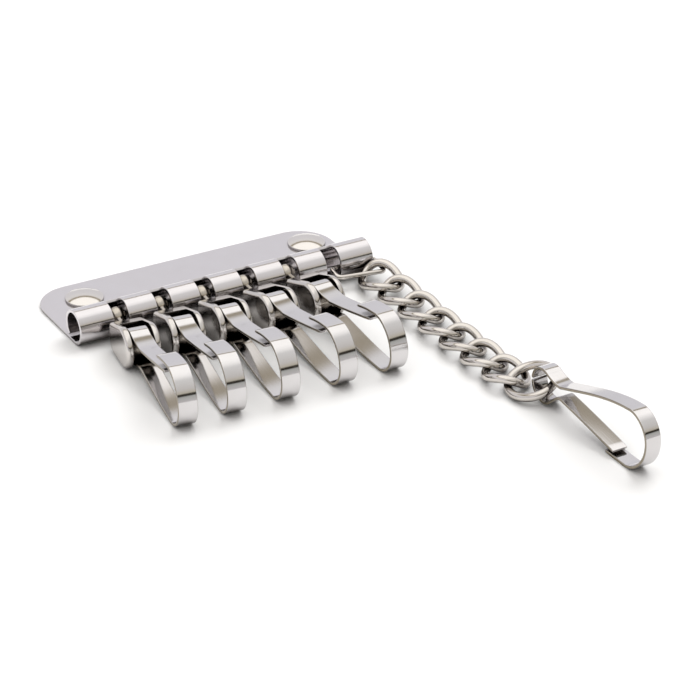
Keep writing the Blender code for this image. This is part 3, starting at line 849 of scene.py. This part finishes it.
def chain_frames():
    """A frame for each link, stepping down from the barrel to the ground."""
    frames = []
    place = CHAIN_START.copy()
    resting = LINK_HALF_WIDTH * LINK_SETTLE + LINK_WIRE
    for index in range(LINK_COUNT):
        down = CHAIN_DROP if place.z > resting else 0.0
        flat = Vector((math.sin(CHAIN_DRIFT), -math.cos(CHAIN_DRIFT), 0.0))
        along = (flat * math.cos(down) - Vector((0, 0, 1)) * math.sin(down)).normalized()
        across = Vector((0, 0, 1)).cross(along).normalized()
        turn = Matrix((along, across, along.cross(across))).transposed().to_4x4()
        settled = min(1.0, index / ROLLED_LINKS)
        roll = Matrix.Rotation(FIRST_ROLL * (1 - settled), 4, "X")
        frames.append(Matrix.Translation(place + along * LINK_HALF_LENGTH) @ turn @ roll)
        place = place + along * LINK_PITCH
    return frames


links = chain_frames()
for index, link_frame in enumerate(links, start=1):
    link = wire_ring(f"curb_chain_link_{index}", link_points(), LINK_WIRE, link_frame)
    place_piece(link, f"chain_link_{index}", f"link_{index}", "nickel_chain_wire", flat_faces=False)
print("links:", len(links))

# %% The end ring
RING_WIRE = 0.8 * MM
RING_HALF_WIDTH = 4.0 * MM
RING_TILT = math.radians(24.0)
RING_DEPTH = 3.0 * MM
RING_SIDE = 0.3 * MM
RING_BITE = Vector((0.15 * MM, -0.6 * MM, -0.2 * MM))

ring_start = links[-1] @ Vector((LINK_HALF_LENGTH - RING_DEPTH, RING_SIDE, 0.0))
ring_end = snap_frame.translation + RING_BITE
ring_axis = (ring_end - ring_start).normalized()
ring_radius = (ring_end - ring_start).length / 2
ring_side = Vector((0.0, 0.0, 1.0)).cross(ring_axis).normalized()
ring_tilted = ring_side * math.cos(RING_TILT) + ring_axis.cross(ring_side) * math.sin(RING_TILT)
ring_points = []
for index in range(120):
    angle = 2 * math.pi * index / 120
    ring_points.append(
        ring_axis * ring_radius * math.cos(angle) + ring_tilted * RING_HALF_WIDTH * math.sin(angle)
    )
ring = wire_ring(
    "plain_end_ring", ring_points, RING_WIRE, Matrix.Translation((ring_start + ring_end) / 2)
)
place_piece(ring, "chain_end_ring", "end_ring", "nickel_chain_wire", flat_faces=False)
print("ring across in mm:", round(2 * (ring_radius + RING_WIRE) / MM, 2))

# %% [markdown]
# ## The studio
# A mirror-bright metal shows its room, so the room is most of the finish. It's a white
# tent with a bright ceiling. High up on the far side runs a thin brown seam, and low down
# on the operator's side a dark gap with a grey table top under it. The gap draws the thin
# black bar across each loop, and the seam the beige line along the barrel. The one lamp only
# lights the paper and makes the soft shadow: it doesn't show in the metal.

# %% Floor
FLOOR_HALF = 3.0
FLOOR_DROP = 0.03 * MM
work = bmesh.new()
bmesh.ops.create_grid(work, x_segments=1, y_segments=1, size=FLOOR_HALF)
floor = bmesh_object("pale_floor", work, Matrix.Translation((0.0, 0.0, -FLOOR_DROP)))
paint = bpy.data.materials.new("matt_white_paper")
paint.use_nodes = True
paper = paint.node_tree.nodes["Principled BSDF"]
paper.inputs["Roughness"].default_value = 1.0
paper.inputs["Specular IOR Level"].default_value = 0.0
fibres = add_node(paint.node_tree, "ShaderNodeTexNoise", (), [("Scale", 900.0)])
paper_tint = add_node(
    paint.node_tree, "ShaderNodeMix", [(0, fibres.outputs[0])],
    [(6, hex_colour("#F2F2F2")), (7, hex_colour("#F0F0F1"))], data_type="RGBA",
)
paint.node_tree.links.new(paper_tint.outputs[2], paper.inputs["Base Color"])
floor.data.materials.append(paint)
print("floor side in m:", 2 * FLOOR_HALF)

# %% The white tent
world = bpy.data.worlds.new("white_tent")
world.use_nodes = True
bpy.context.scene.world = world
sky = world.node_tree
direction = add_node(sky, "ShaderNodeTexCoord").outputs["Generated"]
parts_of = add_node(sky, "ShaderNodeSeparateXYZ", [(0, direction)])


def height_ramp(stops):
    """Room colour by the height of the direction: (height, hex colour, brightness) stops."""
    node = add_node(sky, "ShaderNodeValToRGB", [("Fac", parts_of.outputs["Z"])])
    elements = node.color_ramp.elements
    while len(elements) < len(stops):
        elements.new(0.5)
    for element, (height, colour, brightness) in zip(elements, stops):
        element.position = height
        element.color = (*[share * brightness for share in hex_colour(colour)[:3]], 1.0)
    return node.outputs[0]


far_side = height_ramp([
    (0.0, "#E7E6EA", 1.0),
    (0.40, "#F3F2F7", 1.0),
    (0.60, "#FDFCFD", 1.0),
    (0.65, "#AAA08B", 1.0),
    (0.69, "#AAA08E", 1.0),
    (0.72, "#FFFDFA", 1.45),
    (1.0, "#FFFEFB", 1.45),
])
near_side = height_ramp([
    (0.0, "#D7D4D4", 1.0),
    (0.26, "#C2C4BF", 1.0),
    (0.29, "#272119", 1.0),
    (0.38, "#272119", 1.0),
    (0.41, "#D4CDBC", 1.0),
    (0.58, "#E2DFDB", 1.0),
    (0.86, "#F3F2F0", 1.0),
    (1.0, "#FFFEFB", 1.45),
])
operator_side = Vector((0.35, -0.94, 0.0))
toward = add_node(
    sky, "ShaderNodeVectorMath", [(0, direction)], [(1, operator_side)], operation="DOT_PRODUCT"
).outputs["Value"]
side_share = add_node(
    sky, "ShaderNodeMapRange", [("Value", toward)],
    [("From Min", 0.05), ("From Max", 0.45), ("To Min", 0.0), ("To Max", 1.0)],
).outputs[0]
room = add_node(sky, "ShaderNodeMix", [(0, side_share), (6, far_side), (7, near_side)], data_type="RGBA")
background = sky.nodes["Background"]
sky.links.new(room.outputs[2], background.inputs["Color"])
background.inputs["Strength"].default_value = 1.0
print("world nodes:", len(sky.nodes))

# %% Lamps
def soft_lamp(name, place, aim, size, watts, tint="#FFFFFF"):
    data = bpy.data.lights.new(name, "AREA")
    data.shape = "RECTANGLE"
    data.size, data.size_y = size
    data.energy = watts
    data.color = hex_colour(tint)[:3]
    lamp = new_object(name, data)
    lamp.location = place
    lamp.visible_glossy = False
    lamp.rotation_mode = "QUATERNION"
    lamp.rotation_quaternion = (Vector(aim) - Vector(place)).to_track_quat("-Z", "Y")
    return lamp


soft_lamp("key_softbox", (0.40, 0.10, 0.62), (0.0, -0.02, 0.0), (0.5, 0.5), 2.2)

# %% View
bpy.context.scene.view_settings.view_transform = "Standard"
